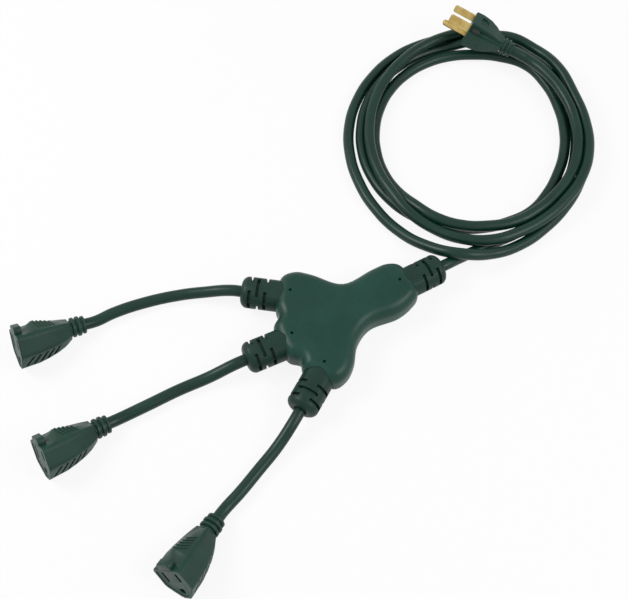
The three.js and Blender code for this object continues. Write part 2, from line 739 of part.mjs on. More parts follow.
// The plug lies on the coil, turned a little about its own length
const plugRestBack = plugReliefLength / plugRings / 2;
const plugRoll = deg(plugPlace.roll);
const plugPitch = restingPitch(plugStations, plugLength, plugRestBack, plugRingRadius, ({ width, depth }) =>
  (plugHalfWidth * width - plugCorner) * Math.sin(plugRoll)
  + ((plugCordDrop - plugBottom) * depth - plugCorner) * Math.cos(plugRoll) + plugCorner);
const plugEnd = new THREE.Vector3(
  ...plugPlace.cordEnd, coilTop + heightAtCordEnd(plugPitch, plugRingRadius, plugRestBack));
const plugGroup = headingGroup(plugEnd, plugPlace.heading, plugPitch, plugPlace.roll);
product.add(plugGroup);
const plugFromFace = new THREE.Group();
plugFromFace.position.set(0, -plugCordDrop, plugLength);
plugGroup.add(plugFromFace);
addMesh(plugFromFace, 'plug_body', plugBodyGeometry(), greenRubber());
addMesh(plugFromFace, 'plug_bridge', bridgeGeometry(), palePlastic());
for (const polarity of ['line', 'neutral']) {
  const { width, x } = bladeOut(polarity);
  addMesh(plugFromFace, `plug_blade_${polarity}`, bladeGeometry(width), brass()).position.x = x;
}
addMesh(plugFromFace, 'plug_ground_pin', groundPinGeometry(), brass());
for (const polarity of wirePolarities) {
  const target = polarity === 'ground'
    ? new THREE.Vector3(0, -groundDrop, bladeBack) : new THREE.Vector3(bladeOut(polarity).x, 0, bladeBack);
  const wire = connectorWire(
    plugWireAngles[polarity], new THREE.Vector3(0, plugCordDrop, -plugLength),
    spreadInside - plugCavityDepth, target);
  addMesh(plugFromFace, `plug_wire_${polarity}`, wire, wireSleeve(polarity));
}

// Cords. Each point is the middle of the cord where it lies.

const armEnd = (arm) => {
  const flat = arm.at(reliefLength + fitGap, 0);
  return new THREE.Vector3(flat.x, flat.y, portAxis);
};
const onTable = cordDiameter / 2 + restGap;

function legCord(arm, socket, between) {
  const heading = deg(socket.heading);
  const [x, y] = socket.cordEnd;
  const behind = (s) => new THREE.Vector3(
    x - s * Math.cos(heading), y - s * Math.sin(heading),
    Math.max(socketEndHeight - s * Math.sin(socketPitch), onTable));
  const start = armEnd(arm);
  const ahead = arm.at(reliefLength + 8, 0);
  const points = [start, new THREE.Vector3(ahead.x, ahead.y, portAxis - 0.5)];
  points.push(...between.map(([px, py, lift]) => new THREE.Vector3(px, py, onTable + lift)));
  points.push(behind(8), behind(fitGap));
  return tube(points, cordDiameter, cordSides, cordStep);
}

const legRoutes = [
  [[-98, 23, 3.2], [-116, 22, 0.6], [-141, 16, 0.2], [-162, 7.8, 0.4]],
  [[-92, -42, 2], [-113, -51, 0], [-133, -62, 0.3]],
  [[-45, -92, 2], [-57.6, -108, 0], [-69, -123, 0.3]],
];
[arm1, arm2, arm3].forEach((arm, i) => {
  addMesh(product, `cord_${arms[i + 1].name}`, legCord(arm, sockets[i], legRoutes[i]), greenCord());
});

// The main cord leaves the splitter and goes in under the coil
const tailRoute = [[73.2, 42.9, 7.7], [81.9, 47.6, 6.2]];
addMesh(product, 'cord_main_tail', tube([
  armEnd(mainArm), ...tailRoute.map(([x, y, lift]) => new THREE.Vector3(x, y, onTable + lift)),
], cordDiameter, cordSides, cordStep), greenCord());

function coilGeometry() {
  const half = coilBundleWidth / 2;
  const ease = cordDiameter / 2;
  const profile = [
    [-half + ease, 0], [half - ease, 0], [half, ease], [half, coilHeight - ease],
    [half - ease, coilHeight], [-half + ease, coilHeight], [-half, coilHeight - ease], [-half, ease],
    [-half + ease, 0],
  ];
  return turned(profile.map(([r, z]) => [coilRadius + r, z]), 48);
}

const coil = addMesh(product, 'cord_main_coil', coilGeometry().scale(...coilShare, 1), greenCord());
coil.position.set(...coilCentre, coilLift);

// The end of the main cord runs over the coil and into the plug
const leadRoute = [[173.5, 128], [177, 148], [173, 168.5], [165, 188], [155, 204]];
const leadHeight = coilTop + cordDiameter / 2 + restGap;
const plugAxis = new THREE.Vector3(0, 0, 1).applyQuaternion(plugGroup.quaternion);
const behindPlug = (distance) => plugEnd.clone().addScaledVector(plugAxis, -distance);
const leadPoints = leadRoute.map(([x, y]) => new THREE.Vector3(x, y, leadHeight));
leadPoints.push(behindPlug(11).setZ(leadHeight + leadRise), behindPlug(4), behindPlug(fitGap));
addMesh(product, 'cord_main_lead', tube(leadPoints, cordDiameter, cordSides, cordStep), greenCord());

export default product;
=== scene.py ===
# Outdoor extension cord: coiled main cord with its plug, moulded splitter, three legs with connectors
import math

import bmesh
import bpy
from mathutils import Matrix, Vector


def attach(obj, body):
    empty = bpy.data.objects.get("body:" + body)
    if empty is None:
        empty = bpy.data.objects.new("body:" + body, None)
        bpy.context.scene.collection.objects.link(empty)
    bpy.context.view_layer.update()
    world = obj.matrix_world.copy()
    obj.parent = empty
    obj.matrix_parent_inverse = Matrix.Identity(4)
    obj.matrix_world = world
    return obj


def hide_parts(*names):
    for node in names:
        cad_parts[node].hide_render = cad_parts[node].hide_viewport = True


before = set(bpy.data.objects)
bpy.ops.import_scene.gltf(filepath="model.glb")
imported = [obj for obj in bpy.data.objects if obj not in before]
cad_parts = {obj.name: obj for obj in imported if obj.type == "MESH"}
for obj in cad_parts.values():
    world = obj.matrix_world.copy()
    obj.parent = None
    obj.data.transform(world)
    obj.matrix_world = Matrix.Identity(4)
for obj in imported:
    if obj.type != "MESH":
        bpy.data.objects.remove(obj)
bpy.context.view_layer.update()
print("frame loaded")

mm = 0.001
root = "root"


def millimetres(*values):
    return Vector(values) * mm


# Camera

camera = {
    "place": (-21, -340.5, 679.9),
    "tilt": 28,  # degrees from straight down
    "lens": 61.9,
    "sensor": 36,
}

cameraData = bpy.data.cameras.new("camera")
cameraData.lens = camera["lens"]
cameraData.sensor_width = camera["sensor"]
cameraObject = bpy.data.objects.new("camera", cameraData)
cameraObject.location = millimetres(*camera["place"])
cameraObject.rotation_euler = (math.radians(camera["tilt"]), 0, 0)
bpy.context.scene.collection.objects.link(cameraObject)
bpy.context.scene.camera = cameraObject
bpy.context.scene.view_settings.view_transform = "Standard"


# Shader nodes as expressions

def setInput(tree, place, value):
    if isinstance(value, Link):
        tree.links.new(value.socket, place)
    else:
        place.default_value = value


class Link:
    def __init__(self, tree, socket):
        self.tree = tree
        self.socket = socket

    def arithmetic(self, operation, first, second):
        node = self.tree.nodes.new("ShaderNodeMath")
        node.operation = operation
        setInput(self.tree, node.inputs[0], first)
        setInput(self.tree, node.inputs[1], second)
        return Link(self.tree, node.outputs[0])

    def __add__(self, other):
        return self.arithmetic("ADD", self, other)

    def __radd__(self, other):
        return self.arithmetic("ADD", other, self)

    def __mul__(self, other):
        return self.arithmetic("MULTIPLY", self, other)

    def __rmul__(self, other):
        return self.arithmetic("MULTIPLY", other, self)


class Nodes:
    def __init__(self, tree):
        self.tree = tree
        tree.nodes.clear()

    def make(self, kind, settings, sockets, output=0):
        node = self.tree.nodes.new(kind)
        for name, value in settings.items():
            setattr(node, name, value)
        for name, value in sockets.items():
            setInput(self.tree, node.inputs[name], value)
        return Link(self.tree, node.outputs[output]) if node.outputs else None

    def noise(self, place, scale, detail=3, roughness=0.5):
        return self.make("ShaderNodeTexNoise", {"normalize": True}, {
            "Vector": place, "Scale": scale, "Detail": detail, "Roughness": roughness})

    def contrast(self, value, low, high):
        return self.make("ShaderNodeMapRange", {"clamp": True}, {
            "Value": value, "From Min": low, "From Max": high})

    def colourMix(self, factor, first, second):
        return self.make("ShaderNodeMix", {"data_type": "RGBA"}, {
            0: factor, 6: first, 7: second}, output=2)


def colour(red, green, blue):
    def linear(value):
        share = value / 255
        return share / 12.92 if share <= 0.04045 else ((share + 0.055) / 1.055) ** 2.4
    return (linear(red), linear(green), linear(blue), 1)


finishes = {
    "rubber": {  # soft moulded body: satin, with a fine grain and a faint cloudy bloom
        "deep": colour(14, 56, 46), "pale": colour(26, 70, 59),
        "bloom": 28, "rough": (0.34, 0.46), "specular": 0.26, "metal": 0,
        "grain": 1500, "grainHeight": 0.00005, "wave": 120, "waveHeight": 0.00018},
    "ridged": {  # reliefs: the same rubber, duller
        "deep": colour(10, 42, 34), "pale": colour(20, 54, 44),
        "bloom": 60, "rough": (0.42, 0.56), "specular": 0.26, "metal": 0,
        "grain": 1700, "grainHeight": 0.00007, "wave": 200, "waveHeight": 0.00012},
    "connector": {  # harder moulding of the connectors and the plug
        "deep": colour(14, 50, 39), "pale": colour(24, 64, 51),
        "bloom": 55, "rough": (0.38, 0.5), "specular": 0.3, "metal": 0,
        "grain": 1400, "grainHeight": 0.00006, "wave": 160, "waveHeight": 0.00012},
    "jacket": {  # extruded cord jacket: smoother and glossier, with shallow undulation over the wires
        "deep": colour(8, 44, 34), "pale": colour(14, 54, 43),
        "bloom": 45, "rough": (0.3, 0.42), "specular": 0.28, "metal": 0,
        "grain": 900, "grainHeight": 0.00004, "wave": 70, "waveHeight": 0.0004},
    "brass": {
        "deep": colour(176, 146, 78), "pale": colour(214, 192, 128),
        "bloom": 180, "rough": (0.2, 0.34), "specular": 0.5, "metal": 1,
        "grain": 2600, "grainHeight": 0.00002, "wave": 400, "waveHeight": 0.00003},
    "insulation": {
        "deep": colour(30, 36, 34), "pale": colour(44, 50, 47),
        "bloom": 90, "rough": (0.55, 0.68), "specular": 0.3, "metal": 0,
        "grain": 1500, "grainHeight": 0.00006, "wave": 150, "waveHeight": 0.00008},
    "sleeveGround": {
        "deep": colour(34, 106, 52), "pale": colour(54, 132, 72),
        "bloom": 120, "rough": (0.4, 0.52), "specular": 0.4, "metal": 0,
        "grain": 1500, "grainHeight": 0.00003, "wave": 200, "waveHeight": 0.00005},
    "sleeveLine": {
        "deep": colour(20, 20, 20), "pale": colour(38, 38, 38),
        "bloom": 120, "rough": (0.4, 0.52), "specular": 0.4, "metal": 0,
        "grain": 1500, "grainHeight": 0.00003, "wave": 200, "waveHeight": 0.00005},
    "sleeveNeutral": {
        "deep": colour(214, 212, 202), "pale": colour(236, 234, 226),
        "bloom": 120, "rough": (0.4, 0.52), "specular": 0.4, "metal": 0,
        "grain": 1500, "grainHeight": 0.00003, "wave": 200, "waveHeight": 0.00005},
}


bumpStrength = 0.6


def makeFinish(name, look):
    material = bpy.data.materials.new(name)
    material.use_nodes = True
    nodes = Nodes(material.node_tree)
    place = nodes.make("ShaderNodeTexCoord", {}, {}, output=3)
    cloud = nodes.contrast(nodes.noise(place, look["bloom"], detail=4), 0.32, 0.68)
    speck = nodes.contrast(nodes.noise(place, look["grain"] * 0.35, detail=2), 0.45, 0.75)
    shade = nodes.colourMix(cloud * 0.75 + speck * 0.2, look["deep"], look["pale"])
    low, high = look["rough"]
    roughness = (cloud * 0.6 + speck * 0.4) * (high - low) + low
    grain = nodes.make("ShaderNodeBump", {}, {
        "Strength": bumpStrength, "Distance": look["grainHeight"],
        "Height": nodes.noise(place, look["grain"], detail=2)})
    bump = nodes.make("ShaderNodeBump", {}, {
        "Strength": bumpStrength, "Distance": look["waveHeight"],
        "Height": nodes.noise(place, look["wave"], detail=2), "Normal": grain})
    surface = nodes.make("ShaderNodeBsdfPrincipled", {}, {
        "Base Color": shade, "Roughness": roughness, "Metallic": look["metal"],
        "Specular IOR Level": look["specular"], "Normal": bump})
    nodes.make("ShaderNodeOutputMaterial", {}, {"Surface": surface})
    return material


materials = {name: makeFinish(name, look) for name, look in finishes.items()}
print("finishes made")


# Helpers for pieces

sharpAngle = math.radians(35)  # edges that turn more than this stay crisp


def addPiece(name, mesh, material, node):
    piece = bpy.data.objects.new(name, mesh)
    bpy.context.scene.collection.objects.link(piece)
    mesh.materials.clear()
    mesh.materials.append(materials[material])
    for polygon in mesh.polygons:
        polygon.use_smooth = True
    mesh.set_sharp_from_angle(angle=sharpAngle)
    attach(piece, root)
    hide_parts(node)


def titled(name):
    return name.capitalize().replace("_", "")


def meshOf(bm, name):
    mesh = bpy.data.meshes.new(name)
    bm.to_mesh(mesh)
    bm.free()
    return mesh


def applied(mesh, modifiers):
    # the mesh after a list of (kind, settings) modifiers
    holder = bpy.data.objects.new("holder", mesh)
    bpy.context.scene.collection.objects.link(holder)
    for kind, settings in modifiers:
        modifier = holder.modifiers.new(kind, kind)
        for name, value in settings.items():
            setattr(modifier, name, value)
    bpy.context.view_layer.update()
    seenNow = holder.evaluated_get(bpy.context.evaluated_depsgraph_get())
    shaped = bpy.data.meshes.new_from_object(seenNow)
    bpy.data.objects.remove(holder)
    return shaped


def carved(mesh, cutters):
    # the mesh less each cutter
    objects = []
    for cutter in cutters:
        item = bpy.data.objects.new("cutter", cutter)
        bpy.context.scene.collection.objects.link(item)
        objects.append(item)
    shaped = applied(mesh, [
        ("BOOLEAN", {"operation": "DIFFERENCE", "object": item, "solver": "EXACT"}) for item in objects])
    for item in objects:
        bpy.data.objects.remove(item)
    return shaped


def softened(mesh, width, segments=2, angle=35):
    # rounds the edges that turn more than the angle
    return applied(mesh, [("BEVEL", {
        "width": width * mm, "segments": segments, "limit_method": "ANGLE",
        "angle_limit": math.radians(angle), "use_clamp_overlap": True})])


def spun(profile, steps, name, matrix=Matrix()):
    # turned from (radius, z) in millimetres; the profile ends on the axis or closes on itself
    bm = bmesh.new()
    points = [bm.verts.new(millimetres(r, 0, z)) for r, z in profile]
    edges = [bm.edges.new(pair) for pair in zip(points, points[1:])]
    if profile[0][0] > 0 and profile[-1][0] > 0:
        edges.append(bm.edges.new((points[-1], points[0])))
    bmesh.ops.spin(bm, geom=points + edges, cent=(0, 0, 0), axis=(0, 0, 1), angle=math.tau,
                   steps=steps, use_merge=True)
    bmesh.ops.remove_doubles(bm, verts=bm.verts, dist=1e-7)
    bmesh.ops.recalc_face_normals(bm, faces=bm.faces)
    bmesh.ops.transform(bm, matrix=matrix, verts=bm.verts)
    return meshOf(bm, name)


def rod(radius, z0, z1, matrix=Matrix(), steps=48):
    return spun([(0, z0), (radius, z0), (radius, z1), (0, z1)], steps, "rod", matrix)


def block(size, centre, turn=Matrix()):
    bm = bmesh.new()
    bmesh.ops.create_cube(bm, size=1)
    bmesh.ops.scale(bm, vec=Vector(size) * mm, verts=bm.verts)
    bmesh.ops.transform(bm, matrix=Matrix.Translation(millimetres(*centre)) @ turn, verts=bm.verts)
    return meshOf(bm, "block")


def makeCord(name, points, radius):
    # a round cord along a smooth curve through the points
    curve = bpy.data.curves.new(name, "CURVE")
    curve.dimensions = "3D"
    spline = curve.splines.new("BEZIER")
    spline.bezier_points.add(len(points) - 1)
    for knot, point in zip(spline.bezier_points, points):
        knot.co = point
        knot.handle_left_type = "AUTO"
        knot.handle_right_type = "AUTO"
    spline.resolution_u = 8
    curve.bevel_depth = radius
    curve.bevel_resolution = 6
    curve.use_fill_caps = True
    curve.materials.append(materials["jacket"])
    return curve


def addCord(name, points, replaced):
    piece = bpy.data.objects.new(name, makeCord(name, points, cord["diameter"] * mm / 2))
    bpy.context.scene.collection.objects.link(piece)
    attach(piece, root)
    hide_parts(*replaced)
    return piece


def lyingFrame(end, heading, pitch, roll):
    # +Z points from the cord to the face, +Y to the side of the blades
    heading, pitch, roll = (math.radians(angle) for angle in (heading, pitch, roll))
    ahead = Vector((math.cos(heading), math.sin(heading), 0))
    forward = ahead * math.cos(pitch) + Vector((0, 0, math.sin(pitch)))
    levelUp = Vector((0, 0, math.cos(pitch))) - ahead * math.sin(pitch)
    levelSide = levelUp.cross(forward)
    side = levelSide * math.cos(roll) + levelUp * math.sin(roll)
    up = levelUp * math.cos(roll) - levelSide * math.sin(roll)
    turn = Matrix((side, up, forward)).transposed().to_4x4()
    return Matrix.Translation(millimetres(*end)) @ turn


# Splitter arms, shared by the shell, the reliefs and the cords

arms = {
    "main": {"reach": 54, "angle": 31.5, "heading": 28.5},
    "leg_1": {"reach": 49, "angle": 159.5, "heading": 171.5},
    "leg_2": {"reach": 48.5, "angle": 205.5, "heading": 204.5},
    "leg_3": {"reach": 49.5, "angle": 248.5, "heading": 242},
}
portHeight = 12
cord = {"diameter": 8.2, "mainLength": 2490, "tuck": 2.5, "lift": 4.2}  # lift: its middle, lying on the floor
cordBore = 3.5  # radius of the passage for the wires
relief = {
    "length": 26, "radius": 11.2, "seat": 6,
    "neck": 7.6, "neckLength": 3, "flange": 9.4, "flangeLength": 3,
    "slotRows": (7.5, 13, 18.5), "slotWidth": 2.2, "slotDepth": 2.4, "slotSteps": 16, "slotArc": 80,
    "slotsPerRow": 3, "steps": 72, "rim": 0.35,
}


def onArm(name, along, across=0, height=portHeight):
    arm = arms[name]
    heading = math.radians(arm["heading"])
    angle = math.radians(arm["angle"])
    return Vector((
        arm["reach"] * math.cos(angle) + along * math.cos(heading) - across * math.sin(heading),
        arm["reach"] * math.sin(angle) + along * math.sin(heading) + across * math.cos(heading),
        height))


def levelTurn(heading):
    # lays +Z level, towards the heading
    return Matrix.Rotation(heading, 4, "Z") @ Matrix.Rotation(math.pi / 2, 4, "Y")


def armMatrix(name):
    # +Z runs out of the port
    return Matrix.Translation(onArm(name, 0) * mm) @ levelTurn(math.radians(arms[name]["heading"]))


# Routes of the cords: the middle of the cord, in millimetres

connectors = {
    "socket_1": {"end": (-181, -2, 6.47), "heading": 205, "arm": "leg_1", "length": 122,
                 "route": ((-98, 23, 3.2), (-116, 22, 0.6), (-141, 16, 0.2), (-162, 7.8, 0.4))},
    "socket_2": {"end": (-158, -76, 6.47), "heading": 212.5, "arm": "leg_2", "length": 104,
                 "route": ((-92, -42, 2), (-113, -51, 0), (-133, -62, 0.3))},
    "socket_3": {"end": (-82.8, -141, 6.47), "heading": 238, "arm": "leg_3", "length": 92,
                 "route": ((-45, -92, 2), (-57.6, -108, 0), (-69, -123, 0.3))},
}
connectorPitch = 13.61
connectorRoll = 45
plug = {"end": (134.8, 232, 21.15), "heading": 156.3, "pitch": 15.22, "roll": 8}

# The coil: (distance from its middle, height) every 15 degrees, from where the cord goes in under it
coil = {
    "middle": (97, 157),
    "shares": (0.94, 1.06),
    "firstAngle": -98,
    "step": 15,
    "turns": (
        (101.4, 8.1), (88.2, 4.2), (84.8, 4.2), (84.1, 4.2), (84.2, 4.2), (85.4, 4.2), (87.3, 4.2),
        (89.7, 4.3), (91.9, 6.9), (91.5, 11.1), (90.3, 12.5), (92.1, 8.6), (95.8, 4.2), (96.2, 4.2),
        (96, 4.2), (96, 4.2), (96.1, 4.2), (96.7, 4.2), (97.3, 4.2), (97.1, 4.2), (96.6, 4.2),
        (96.6, 4.2), (97.2, 4.6), (100.2, 10.6), (103, 17.1), (98.8, 10.4), (94.7, 5.7),
        (92.3, 4.2), (92.5, 4.2), (94, 4.2), (96, 4.2), (98.4, 4.2), (99.9, 4.2), (102.5, 4.2),
        (105.1, 4.2), (103.9, 4.9), (98.6, 11.8), (92.7, 12.3), (88.3, 12.3), (85, 12.2),
        (83, 11.7), (81.7, 11.2), (80.7, 11.2), (80.5, 11), (80.4, 11.1), (81, 12.2), (83.4, 11.8),
        (84.7, 10.1), (87.9, 11.7), (89.3, 12.5), (88.3, 12), (88.8, 11.7), (90.8, 12.2),
        (94.2, 12.4), (96.4, 12.4), (96.7, 12.3), (96, 14.1), (98.6, 15.4), (101, 12), (99, 13.1),
        (90.6, 10.2), (88.3, 4.3), (87.1, 4.2), (87, 4.2), (87.7, 4.2), (87.8, 4.2), (87.4, 4.2),
        (86.7, 4.2), (85, 4.2), (82.8, 4.2), (80.2, 4.2), (77.2, 4.2), (75.3, 4.2), (74.3, 4.2),
        (74.5, 4.2), (75.9, 4.2), (75.5, 4.2), (76, 4.2), (78.3, 4.2), (80.9, 4.2), (83.8, 4.2),
        (87.3, 4.2), (89.2, 4.2), (85.1, 4.2), (81.1, 4.2), (79.2, 4.2), (78.1, 4.2), (77.5, 4.2),
        (77.1, 4.2), (76.6, 4.2), (76.1, 4.2), (75.6, 4.2), (75.1, 4.2), (74.7, 6.3), (75.4, 10.8),
        (77.2, 12.5), (77.5, 12.1), (77.8, 12.1), (79.6, 12.1), (80.8, 12.6), (82.4, 12.4),
        (85.6, 12.4), (87.7, 12.4), (88, 13.4), (86.9, 15.8), (85.2, 17.9)),
}


def coilPoint(index):
    angle = math.radians(coil["firstAngle"] + index * coil["step"])
    radius, height = coil["turns"][index]
    return millimetres(
        coil["middle"][0] + coil["shares"][0] * radius * math.cos(angle),
        coil["middle"][1] + coil["shares"][1] * radius * math.sin(angle), height)


def behind(matrix, distance, lowest=0):
    point = matrix @ millimetres(0, 0, -distance)
    point.z = max(point.z, lowest * mm)
    return point


plugMatrix = lyingFrame(plug["end"], plug["heading"], plug["pitch"], plug["roll"])
mainRoute = [onArm("main", relief["length"] + past) * mm for past in (-cord["tuck"], 4)]
mainRoute += [coilPoint(index) for index in range(len(coil["turns"]))]
mainRoute += [behind(plugMatrix, distance) for distance in (14, 7, 0, -cord["tuck"])]


def legRoute(connector):
    matrix = lyingFrame(connector["end"], connector["heading"], connectorPitch, connectorRoll)
    arm = connector["arm"]
    points = [onArm(arm, relief["length"] - cord["tuck"]) * mm]
    points.append(onArm(arm, relief["length"] + 8, height=11.5) * mm)
    points += [millimetres(x, y, cord["lift"] + lift) for x, y, lift in connector["route"]]
    points += [behind(matrix, 8, cord["lift"]), behind(matrix, -cord["tuck"])]
    return points


cords = {name: addCord("cordOf" + titled(name), legRoute(place), ["cord_" + place["arm"]])
         for name, place in connectors.items()}
cords["main"] = addCord("cordOfMain", mainRoute, ["cord_main_tail", "cord_main_coil", "cord_main_lead"])
print("cords laid")


# Splitter

splitter = {
    "height": 24, "edgeRise": 9, "edgeInset": 8, "edgeSteps": 9, "outlineSteps": 7,
    "wall": 3, "chamber": 15.5, "passage": 9.7, "gap": 0.3,
    "hole": 1.15, "holeDepth": 1.6, "holeSetback": 8.5,
    "rim": 0.5, "rimSteps": 3,
}


def outlineThrough(corners, steps):
    # a smooth closed line through the corners, even where they stand close together
    ring = []
    count = len(corners)
    for index in range(count):
        before, start, end, after = (corners[(index + offset) % count] for offset in (-1, 0, 1, 2))
        knots = [0]
        for first, second in ((before, start), (start, end), (end, after)):
            knots.append(knots[-1] + (second - first).length ** 0.5)
        for step in range(steps):
            at = knots[1] + (knots[2] - knots[1]) * step / steps
            first = before.lerp(start, (at - knots[0]) / (knots[1] - knots[0]))
            second = start.lerp(end, (at - knots[1]) / (knots[2] - knots[1]))
            third = end.lerp(after, (at - knots[2]) / (knots[3] - knots[2]))
            left = first.lerp(second, (at - knots[0]) / (knots[2] - knots[0]))
            right = second.lerp(third, (at - knots[1]) / (knots[3] - knots[1]))
            ring.append(left.lerp(right, (at - knots[1]) / (knots[2] - knots[1])))
    return ring


def splitterCorners():
    flat = [
        onArm("main", 0, -12), onArm("main", 0, 12), onArm("main", -8, 18), onArm("main", -20, 19),
        Vector((-1, 24, 0)),
        onArm("leg_1", -21, -17.5), onArm("leg_1", -9, -18), onArm("leg_1", 0, -12), onArm("leg_1", 0, 12),
        Vector((-45.5, -1.5, 0)), onArm("leg_2", 0, -12), onArm("leg_2", 0, 12), Vector((-30, -35, 0)),
        onArm("leg_3", 0, -12), onArm("leg_3", 0, 12), onArm("leg_3", -8, 17), onArm("leg_3", -19, 17),
        Vector((9, -20, 0)), Vector((18, -7, 0)), onArm("main", -20, -19.5), onArm("main", -8, -17),
    ]
    return [Vector((point.x, point.y, splitter["edgeRise"])) for point in flat]


def innerRing(ring, distance):
    # the line that far inside the ring; where it would fold, it is pushed clear of the ring
    inner = []
    for index, point in enumerate(ring):
        along = (ring[(index + 1) % len(ring)] - ring[index - 1]).normalized()
        inner.append(point + Vector((-along.y, along.x, 0)) * distance)
    for _ in range(14):
        for index, point in enumerate(inner):
            near = min((point - place).length for place in ring)
            if near >= distance:
                continue
            closest = min(((point - (start + (end - start) * min(max(
                (point - start).dot(end - start) / (end - start).length_squared, 0), 1)))
                for start, end in zip(ring, ring[1:] + ring[:1])), key=lambda gap: gap.length)
            if 0.01 < closest.length < distance:
                inner[index] = point + closest.normalized() * (distance - closest.length) * 0.7
        inner = [(inner[index - 1] + inner[index] * 6 + inner[(index + 1) % len(inner)]) / 8
                 for index in range(len(inner))]
    return inner


def puffedBody():
    ring = outlineThrough(splitterCorners(), splitter["outlineSteps"])
    inner = innerRing(ring, splitter["edgeInset"])
    steps = splitter["edgeSteps"]
    levels = [math.pi / 2 * (step / steps - 1) for step in range(steps + 1)]
    levels += [math.pi / 2 * step / steps for step in range(steps + 1)]
    bm = bmesh.new()
    loop = []
    edges = []
    for level, angle in enumerate(levels):
        # a quarter of an ellipse up from the floor, a straight side, and a quarter over to the top
        lift = splitter["height"] - splitter["edgeRise"] if level > steps else splitter["edgeRise"]
        height = lift + splitter["edgeRise"] * math.sin(angle)
        places = []
        for point, middle in zip(ring, inner):
            place = point.lerp(middle, 1 - math.cos(angle))
            places.append(millimetres(place.x, place.y, height))
        if not loop:
            loop = [bm.verts.new(place) for place in places]
            edges = [bm.edges.new((loop[index - 1], loop[index])) for index in range(len(loop))]
            bm.faces.new(loop)
            continue
        order = {vertex: index for index, vertex in enumerate(loop)}
        grown = bmesh.ops.extrude_edge_only(bm, edges=edges)["geom"]
        edges = [item for item in grown if isinstance(item, bmesh.types.BMEdge)]
        fresh = [item for item in grown if isinstance(item, bmesh.types.BMVert)]
        following = [None] * len(loop)
        for vertex in fresh:
            joinedTo = [edge.other_vert(vertex) for edge in vertex.link_edges]
            following[next(order[below] for below in joinedTo if below in order)] = vertex
        for vertex, place in zip(following, places):
            vertex.co = place
        loop = following
    bm.faces.new(loop)
    bmesh.ops.recalc_face_normals(bm, faces=bm.faces)
    return meshOf(bm, "splitterShell")


def splitterCutters():
    gap = splitter["gap"]
    neckStart = -relief["seat"] - relief["neckLength"]
    innerEnd = neckStart - gap - relief["flangeLength"] - gap
    cutters = [rod(splitter["chamber"], splitter["wall"], splitter["height"] - splitter["wall"])]
    for name in arms:
        matrix = armMatrix(name)
        cutters.append(rod(relief["radius"] + gap, -relief["seat"], 12, matrix, 72))
        cutters.append(rod(relief["neck"] + gap, neckStart - gap, 0, matrix))
        cutters.append(rod(relief["flange"] + gap, innerEnd, neckStart, matrix))
        inner = onArm(name, innerEnd)
        middle = Matrix.Translation(millimetres(0, 0, portHeight))
        reach = math.hypot(inner.x, inner.y)
        cutters.append(rod(splitter["passage"], 4, reach,
                           middle @ levelTurn(math.atan2(inner.y, inner.x))))
        hole = onArm(name, -splitter["holeSetback"], height=0)
        holeFloor = splitter["height"] - splitter["holeDepth"]
        cutters.append(rod(splitter["hole"], holeFloor, splitter["height"] + 2,
                           Matrix.Translation(hole * mm), 24))
    return cutters


shell = carved(puffedBody(), splitterCutters())
shell = softened(shell, splitter["rim"], splitter["rimSteps"], 40)
addPiece("splitterShell", shell, "rubber", "splitter_body")
print("splitter made")


# Reliefs

def slotCutter(start, turnDegrees):
    floor = (relief["radius"] - relief["slotDepth"]) * mm
    rim = (relief["radius"] + 1) * mm
    end = (start + relief["slotWidth"]) * mm
    arc = math.radians(relief["slotArc"])
    bm = bmesh.new()
    corners = [bm.verts.new((x, 0, z)) for x, z in (
        (floor, start * mm), (rim, start * mm), (rim, end), (floor, end))]
    side = bm.faces.new(corners)
    bmesh.ops.spin(bm, geom=[side], cent=(0, 0, 0), axis=(0, 0, 1), angle=arc, steps=relief["slotSteps"])
    bmesh.ops.recalc_face_normals(bm, faces=bm.faces)
    turn = Matrix.Rotation(math.radians(turnDegrees) - arc / 2, 3, "Z")
    bmesh.ops.rotate(bm, cent=(0, 0, 0), matrix=turn, verts=bm.verts)
    return meshOf(bm, "slotCutter")


def reliefShape():
    gap = splitter["gap"]
    bore = cordBore
    inner = -relief["seat"] - relief["neckLength"] - gap
    barrel = -relief["seat"] + gap
    end = relief["length"]
    radius = relief["radius"]
    profile = [
        (bore, inner - relief["flangeLength"]), (relief["flange"], inner - relief["flangeLength"]),
        (relief["flange"], inner), (relief["neck"], inner), (relief["neck"], barrel), (radius, barrel),
        (radius, end - 3.9), (radius - 0.4, end - 2.7), (radius - 1.4, end - 1.3),
        (radius - 2.7, end - 0.4), (radius - 3.6, end), (5.2, end), (4.6, end - 0.5), (4.6, end - 2),
        (bore, end - 2),
    ]
    body = spun(profile, relief["steps"], "relief")
    cutters = []
    for row, start in enumerate(relief["slotRows"]):
        for index in range(relief["slotsPerRow"]):
            cutters.append(slotCutter(start, (index + (row % 2) / 2) * 360 / relief["slotsPerRow"]))
    return softened(carved(body, cutters), relief["rim"], angle=40)


reliefMesh = reliefShape()
for name in arms:
    mesh = reliefMesh.copy()
    mesh.transform(armMatrix(name))
    addPiece("reliefOf" + titled(name), mesh, "ridged", "relief_" + name)
print("reliefs made")


# Connectors and plug: an outline is drawn back from the face and narrows to the cord

def rounded(corners, radius, steps=4):
    # the corners of an outline, each as an arc
    ring = []
    for index, corner in enumerate(corners):
        corner = Vector(corner)
        before = (Vector(corners[index - 1]) - corner).normalized()
        after = (Vector(corners[(index + 1) % len(corners)]) - corner).normalized()
        half = before.angle(after) / 2
        reach = radius / math.tan(half)
        middle = corner + (before + after).normalized() * (radius / math.sin(half))
        start = corner + before * reach - middle
        end = corner + after * reach - middle
        for step in range(steps + 1):
            ring.append(middle + start.slerp(end, step / steps) if step not in (0, steps)
                        else middle + (end if step else start))
    return ring


